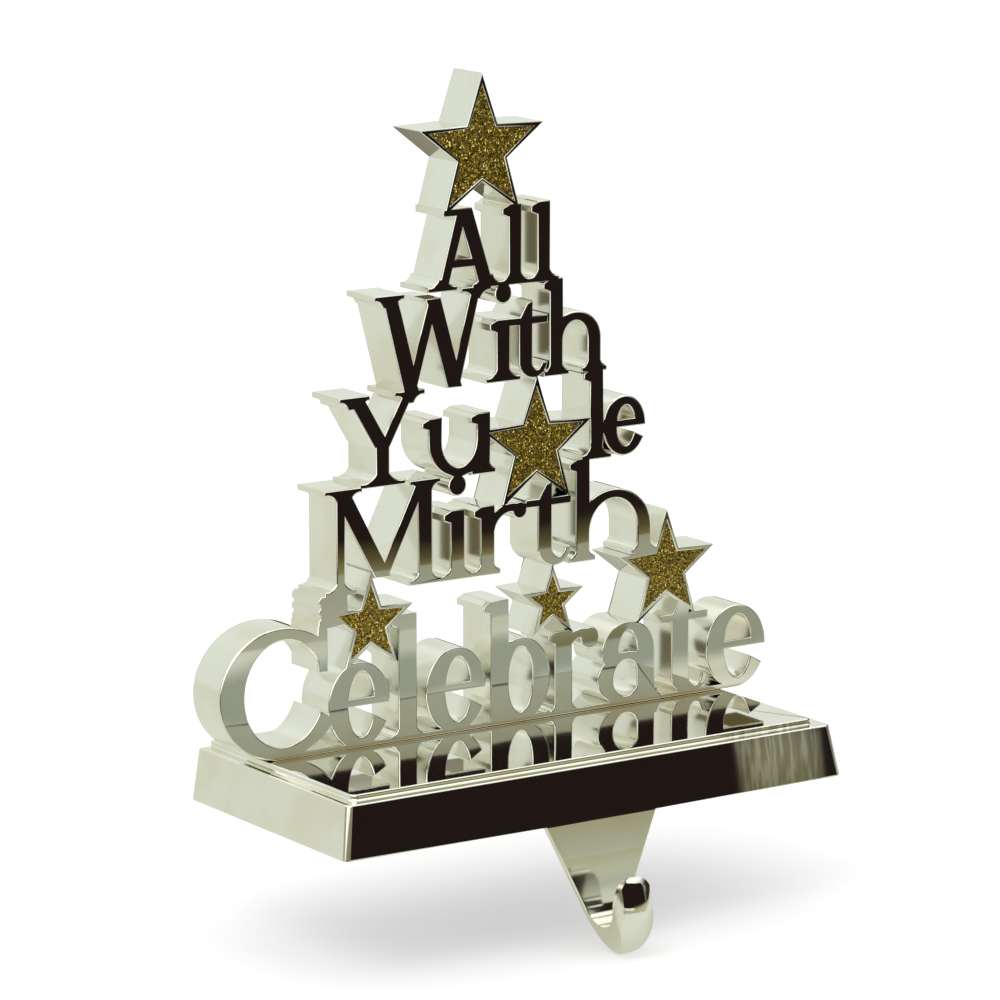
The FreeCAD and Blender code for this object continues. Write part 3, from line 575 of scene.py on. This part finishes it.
def glitter_tree():
    """Scatters tilted six-sided flakes over the front faces of the mesh that it is given."""
    tree = bpy.data.node_groups.new("Glitter flakes", "GeometryNodeTree")
    tree.interface.new_socket(name="Geometry", in_out="OUTPUT", socket_type="NodeSocketGeometry")
    add_input(tree, "Geometry", "NodeSocketGeometry", None)
    names = {
        "density": add_input(tree, "Flakes per square metre", "NodeSocketFloat", 1.0),
        "radius": add_input(tree, "Flake radius", "NodeSocketFloat", 0.001),
        "tilt": add_input(tree, "Largest tilt", "NodeSocketFloat", 0.5),
        "seed": add_input(tree, "Seed", "NodeSocketInt", 1),
    }
    board = Board(tree)
    given = tree.nodes.new("NodeGroupInput")

    def wire(name):
        return Wire(board, given.outputs[name])

    normal = board.node("GeometryNodeInputNormal")
    is_front = board.node("FunctionNodeCompare", {"operation": "LESS_THAN"},
                          {0: board.axis(normal, "Y"), 1: FRONT_FACES})
    face = board.node("GeometryNodeSeparateGeometry", {"domain": "FACE"},
                      {"Geometry": wire("Geometry"), "Selection": is_front})
    points = board.node("GeometryNodeDistributePointsOnFaces", None, {
        "Mesh": face, "Density": wire("Flakes per square metre"), "Seed": wire("Seed")})
    tilt = wire("Largest tilt")
    turn = board.node("ShaderNodeCombineXYZ", None, {"X": tilt, "Y": math.pi, "Z": tilt})
    back_turn = board.node("ShaderNodeVectorMath", {"operation": "SCALE"}, {0: turn, "Scale": -1.0})
    spin = board.node("FunctionNodeRandomValue", {"data_type": "FLOAT_VECTOR"},
                      {0: back_turn, 1: turn, "Seed": wire("Seed")})
    size = board.node("FunctionNodeRandomValue", None,
                      {2: SMALLEST_FLAKE, 3: LARGEST_FLAKE, "Seed": SIZE_SEED}, output=1)
    flake = board.node("GeometryNodeMeshCircle", {"fill_type": "NGON"},
                       {"Vertices": FLAKE_CORNERS, "Radius": wire("Flake radius")})
    stood = board.node("GeometryNodeTransform", None,
                       {"Geometry": flake, "Rotation": (math.pi / 2, 0.0, 0.0)})
    placed = board.node("GeometryNodeInstanceOnPoints", None,
                        {"Points": points, "Instance": stood, "Rotation": spin, "Scale": size})
    shade = board.node("FunctionNodeRandomValue", None, {2: 0.0, 3: 1.0, "Seed": SHADE_SEED}, output=1)
    shaded = board.node("GeometryNodeStoreNamedAttribute", {"domain": "INSTANCE", "data_type": "FLOAT"},
                        {"Geometry": placed, "Name": "shade", "Value": shade})
    real = board.node("GeometryNodeRealizeInstances", None, {"Geometry": shaded})
    finished = board.node("GeometryNodeSetMaterial", None, {"Geometry": real, "Material": FLAKE})
    result = tree.nodes.new("NodeGroupOutput")
    tree.links.new(finished.socket, result.inputs[0])
    return tree, names


GLITTER, GLITTER_INPUTS = glitter_tree()
FLAKE_RADIUS = 0.24 * MM
FLAKES_PER_SQUARE_MM = 8.0
FLAKE_TILT = math.radians(38)


def fill_star(node, seed):
    """One star's inlay: the resin with its flakes on it."""
    resin = joined_copy(node, node.replace("_inlay", "_glitter"))
    resin.data.materials.clear()
    resin.data.materials.append(RESIN)
    flakes = bpy.data.objects.new("flakes", resin.data.copy())
    bpy.context.scene.collection.objects.link(flakes)
    scatter = flakes.modifiers.new("Flakes", "NODES")
    scatter.node_group = GLITTER
    scatter[GLITTER_INPUTS["density"]] = FLAKES_PER_SQUARE_MM / MM ** 2
    scatter[GLITTER_INPUTS["radius"]] = FLAKE_RADIUS
    scatter[GLITTER_INPUTS["tilt"]] = FLAKE_TILT
    scatter[GLITTER_INPUTS["seed"]] = seed
    apply_modifiers(flakes)
    with bpy.context.temp_override(active_object=resin, selected_editable_objects=[resin, flakes]):
        bpy.ops.object.join()
    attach(resin, "root")
    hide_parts(node)
    print(resin.name, "faces", len(resin.data.polygons))


for seed, star in enumerate(sorted(STARS), start=1):
    fill_star(star, seed)

# %% [markdown]
# ## Pad and screws
#
# Both are hidden in use. The pad is a dark foam rubber with a fine open grain, and the screws are
# zinc-plated steel. Their CAD shapes are right as they are, so they only get a finish.


# %% Pad and screw finishes
FOAM_DARK = (0.025, 0.025, 0.027, 1.0)
FOAM_PALE = (0.06, 0.06, 0.062, 1.0)
FOAM_CELLS = 1400.0
ZINC_DULL = (0.52, 0.53, 0.55, 1.0)
ZINC_BRIGHT = (0.66, 0.67, 0.70, 1.0)
TURNED_RINGS = (200.0, 200.0, 4000.0)


def pad_material():
    """Foam rubber with a fine open grain."""
    material, board = new_board("Foam rubber")
    place = board.node("ShaderNodeTexCoord", output=3)
    cells = board.node("ShaderNodeTexVoronoi", None, {"Vector": place, "Scale": FOAM_CELLS})
    colour = board.mix(cells.rise(0.1, 0.7), FOAM_DARK, FOAM_PALE)
    bump = board.node("ShaderNodeBump", None, {"Strength": 0.7, "Distance": 0.15 * MM, "Height": cells})
    shader = board.node("ShaderNodeBsdfPrincipled", None,
                        {"Base Color": colour, "Roughness": 0.9, "Normal": bump})
    finish_board(board, shader)
    return material


def screw_material():
    """Steel with the fine rings of the lathe."""
    material, board = new_board("Zinc-plated steel")
    place = board.node("ShaderNodeTexCoord", output=3)
    turned = board.node("ShaderNodeMapping", None, {"Vector": place, "Scale": TURNED_RINGS})
    rings = board.node("ShaderNodeTexNoise", None, {"Vector": turned, "Scale": 1.0})
    colour = board.mix(rings, ZINC_DULL, ZINC_BRIGHT)
    bump = board.node("ShaderNodeBump", None, {"Strength": 0.3, "Distance": 0.05 * MM, "Height": rings})
    shader = board.node("ShaderNodeBsdfPrincipled", None, {
        "Base Color": colour, "Metallic": 1.0, "Roughness": 0.25 + rings * 0.15, "Normal": bump})
    finish_board(board, shader)
    return material


for node, material in (("base_pad", pad_material()), ("tree_screws", screw_material())):
    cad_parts[node].data.materials.clear()
    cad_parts[node].data.materials.append(material)
    print(node, "gets", material.name)

# %% [markdown]
# ## Camera
#
# The camera stands a little to the left and a little above, with a long lens, as the photographer's
# did. Its place and its lens come from the lines of the plinth and the level of the words.

# %% Camera
CAMERA_PLACE = Vector((-0.711, -1.049, 0.3295))
CAMERA_AIM = Vector((0.0, 0.0, 0.075))
SENSOR_WIDTH = 36.0
LENS = 185.9
FRAME_SHIFT = (-0.020, -0.0027)

camera = bpy.data.objects.new("Camera", bpy.data.cameras.new("Camera"))
bpy.context.scene.collection.objects.link(camera)
camera.location = CAMERA_PLACE
camera.rotation_mode = "QUATERNION"
camera.rotation_quaternion = (CAMERA_AIM - CAMERA_PLACE).to_track_quat("-Z", "Y")
camera.data.lens = LENS
camera.data.sensor_width = SENSOR_WIDTH
camera.data.shift_x, camera.data.shift_y = FRAME_SHIFT
camera.data.clip_start = 0.05
camera.data.clip_end = 50.0
bpy.context.scene.camera = camera
print("camera", round((CAMERA_AIM - CAMERA_PLACE).length, 2), "m away, lens", LENS, "mm")

# %% [markdown]
# ## Studio
#
# A mirror shows the room, so the room is built for what the mirrors should show. The fronts mirror
# the room in front and to the right of the object. A tall dark wall stands there, a quarter of a
# metre away, with a golden haze at its lower edge. The high words and the skirt, which leans back,
# mirror the wall. The low words and the hook look under its edge at the pale floor. The rounded
# edges catch the bright room above and at the left, and the right of the room is dim.

# %% World
scene = bpy.context.scene
scene.view_settings.view_transform = "Standard"
scene.world = bpy.data.worlds.new("Studio")
scene.world.use_nodes = True
scene.world.node_tree.nodes.clear()
WHITE = (1.0, 1.0, 1.0, 1.0)
DAYLIGHT = 0.85
ROOM_PALE = (0.80, 0.84, 0.77, 1.0)
ROOM_OLIVE = (0.20, 0.18, 0.10, 1.0)
ROOM_DARK = (0.03, 0.026, 0.018, 1.0)
ROOM_CEILING = (1.3, 1.3, 1.22, 1.0)
DIM_RIGHT = (0.62, 0.9)
DIM_BELOW = (0.8, 0.3)
SHADED_LEFT = (-0.80, -0.95)
SHADED_BELOW = (0.5, 0.1)
CEILING_STARTS = (0.5, 0.75)


def studio_world():
    """White for the camera, even daylight for dull surfaces and the room for mirrors."""
    board = Board(scene.world.node_tree)
    direction = board.node("ShaderNodeTexCoord")
    across = board.axis(direction, "X")
    up = board.axis(direction, "Z")
    dim = across.rise(*DIM_RIGHT) * up.rise(*DIM_BELOW)
    low_left = across.rise(*SHADED_LEFT) * up.rise(*SHADED_BELOW)
    walls = board.mix(low_left * 0.8, ROOM_PALE, ROOM_OLIVE)
    pale = board.mix(up.rise(*CEILING_STARTS), walls, ROOM_CEILING)
    seen = board.mix(dim, pale, ROOM_DARK)
    mirrored = board.node("ShaderNodeBackground", None, {"Color": seen, "Strength": 1.0})
    daylight = board.node("ShaderNodeBackground", None, {"Color": WHITE, "Strength": DAYLIGHT})
    white = board.node("ShaderNodeBackground", None, {"Color": WHITE, "Strength": 1.0})
    is_camera = board.node("ShaderNodeLightPath", output="Is Camera Ray")
    is_glossy = board.node("ShaderNodeLightPath", output="Is Glossy Ray")
    lit = board.node("ShaderNodeMixShader", None, {0: is_glossy, 1: daylight, 2: mirrored})
    shader = board.node("ShaderNodeMixShader", None, {0: is_camera, 1: lit, 2: white})
    finish_board(board, shader, "ShaderNodeOutputWorld")


studio_world()
print("world:", scene.world.name)

# %% Floor
FLOOR_HALF = 12.0
PALE_FLOOR = (0.77, 0.80, 0.70, 1.0)
SHADED_FLOOR = (0.52, 0.52, 0.40, 1.0)
GREY_FLOOR = (0.33, 0.36, 0.29, 1.0)
OLIVE_FLOOR = (0.12, 0.10, 0.045, 1.0)
FAR_FLOOR = (0.46, 0.46, 0.29, 1.0)
FLOOR_PAINT = (0.72, 0.72, 0.72, 1.0)
FLOOR_LIFT = 0.45
FLOOR_STREAKS = (3.0, 14.0, 1.0)
GREY_STARTS = (-0.175, -0.205)
GREY_ENDS = (-0.265, -0.235)
FAR_STARTS = (-0.30, -0.36)
BEHIND_STARTS = (0.0, 0.1)
RIGHT_STARTS = (0.02, 0.25)


def floor_colour(board):
    """What mirrors see of the floor: pale, and dim in front of the wall, far away and behind."""
    place = board.node("ShaderNodeTexCoord", output=3)
    across = board.axis(place, "X")
    depth = board.axis(place, "Y")
    streaks = board.node("ShaderNodeMapping", None, {"Vector": place, "Scale": FLOOR_STREAKS})
    shade = board.node("ShaderNodeTexNoise", None, {"Vector": streaks, "Scale": 1.0, "Detail": 1.0})
    near = board.mix(shade.rise(0.50, 0.68) * 0.8, PALE_FLOOR, SHADED_FLOOR)
    grey = depth.rise(*GREY_STARTS) * depth.rise(*GREY_ENDS)
    behind = (across * 0.9 + depth * 0.3).rise(*RIGHT_STARTS) * depth.rise(*BEHIND_STARTS)
    far = depth.rise(*FAR_STARTS)
    lit = board.mix(grey, near, GREY_FLOOR)
    return board.mix(behind, board.mix(far, lit, FAR_FLOOR), OLIVE_FLOOR)


def floor_material():
    """A white floor that keeps the object's shadow, with its own colour in mirrors."""
    material, board = new_board("White floor")
    paint = board.node("ShaderNodeBsdfDiffuse", None, {"Color": FLOOR_PAINT})
    lift = board.node("ShaderNodeEmission", None, {"Color": WHITE, "Strength": FLOOR_LIFT})
    seen = board.node("ShaderNodeAddShader", None, {0: paint, 1: lift})
    mirrored = board.node("ShaderNodeEmission", None, {"Color": floor_colour(board), "Strength": 1.0})
    is_glossy = board.node("ShaderNodeLightPath", output="Is Glossy Ray")
    is_camera = board.node("ShaderNodeLightPath", output="Is Camera Ray")
    dull = board.node("ShaderNodeMixShader", None, {0: is_camera, 1: paint, 2: seen})
    finish_board(board, board.node("ShaderNodeMixShader", None, {0: is_glossy, 1: dull, 2: mirrored}))
    return material


def stage_piece(name, corners, material):
    """A flat stage piece through its corners."""
    mesh = bpy.data.meshes.new(name)
    mesh.from_pydata(corners, [], [tuple(range(len(corners)))])
    mesh.materials.append(material)
    piece = bpy.data.objects.new(name, mesh)
    scene.collection.objects.link(piece)
    print("stage piece:", name)
    return piece


stage_piece("floor", [(-FLOOR_HALF, -FLOOR_HALF, FLOOR), (FLOOR_HALF, -FLOOR_HALF, FLOOR),
                      (FLOOR_HALF, FLOOR_HALF, FLOOR), (-FLOOR_HALF, FLOOR_HALF, FLOOR)],
            floor_material())

# %% [markdown]
# The cards stand in front of the object, parallel to its front. Only mirrors see them. A line of
# sight that the words mirror drops by a quarter of the way it goes to the front and moves right by
# two thirds of it, while one that the skirt mirrors runs level. So a card's height and place decide
# which part of the object mirrors it. The tip card gives the hook's round tip its dark spot. The
# plate card stands between the hook's arm and its plate, and the plate mirrors it. Each call gives
# the card's depth, its left and right sides, its low and high edges and its haze in millimetres.

# %% Cards
DARK_BROWN = (0.016, 0.010, 0.009, 1.0)
WALL_STOPS = [(0.0, (0.50, 0.50, 0.36, 1.0)), (0.3, (0.34, 0.31, 0.15, 1.0)),
              (0.65, (0.10, 0.08, 0.035, 1.0)), (1.0, DARK_BROWN)]
SHADE_STOPS = [(0.0, (0.09, 0.08, 0.045, 1.0)), (1.0, (0.30, 0.29, 0.2, 1.0))]
BRIGHT_STOPS = [(0.0, (1.0, 1.0, 0.92, 1.0)), (1.0, (1.5, 1.5, 1.4, 1.0))]
NEAR_STOPS = [(0.0, (0.42, 0.44, 0.36, 1.0)), (1.0, (0.34, 0.34, 0.25, 1.0))]
PALE_STOPS = [(0.0, (0.18, 0.17, 0.08, 1.0)), (1.0, (0.48, 0.48, 0.36, 1.0))]
PLATE_STOPS = [(0.0, (0.44, 0.46, 0.35, 1.0)), (1.0, (0.37, 0.37, 0.23, 1.0))]
DARK_STOPS = [(0.0, DARK_BROWN), (1.0, DARK_BROWN)]


def card(name, depth, left, right, low, high, haze, stops):
    """An upright card that only mirrors see; its colour runs through stops up to the height haze."""
    material, board = new_board(name)
    height = board.axis(board.node("ShaderNodeTexCoord", output=3), "Z")
    share = board.node("ShaderNodeMapRange", None,
                       {"Value": height, "From Min": low * MM, "From Max": haze * MM})
    colour = board.ramp(share, stops)
    finish_board(board, board.node("ShaderNodeEmission", None, {"Color": colour, "Strength": 1.0}))
    corners = [(x * MM, depth * MM, z * MM) for x, z in
               ((left, low), (right, low), (right, high), (left, high))]
    piece = stage_piece(name, corners, material)
    piece.visible_camera = False
    piece.visible_diffuse = False
    piece.visible_shadow = False


card("dark_wall", -270, 50, 300, -22, 190, -3, WALL_STOPS)
card("near_card", -62, -60, 145, 24, 41, 41, NEAR_STOPS)
card("pale_card", -110, 97, 123, -1, 17, 17, PALE_STOPS)
card("tip_card", -270, -260, 50, -12, 340, 340, DARK_STOPS)
card("plate_card", -46, -14, 26, -9, -0.3, -0.3, PLATE_STOPS)
card("left_card", -110, -460, -34, -33, 26, 26, SHADE_STOPS)
card("left_lamp", -130, -520, -45, 30, 230, 60, BRIGHT_STOPS)

# %% Lamp
LAMP_SIZE = 0.9
LAMP_AIM = Vector((0.0, 0.0, 0.08))
KEY_PLACE = Vector((-1.1, -0.6, 1.5))
KEY_POWER = 6.0


def lamp(name, place, power):
    """A large soft lamp that points at the words."""
    light = bpy.data.lights.new(name, "AREA")
    light.shape = "DISK"
    light.size = LAMP_SIZE
    light.energy = power
    piece = bpy.data.objects.new(name, light)
    piece.location = place
    piece.rotation_mode = "QUATERNION"
    piece.rotation_quaternion = (LAMP_AIM - place).to_track_quat("-Z", "Y")
    scene.collection.objects.link(piece)
    piece.visible_glossy = False
    print("lamp:", name, power, "W")


lamp("Key lamp", KEY_PLACE, KEY_POWER)
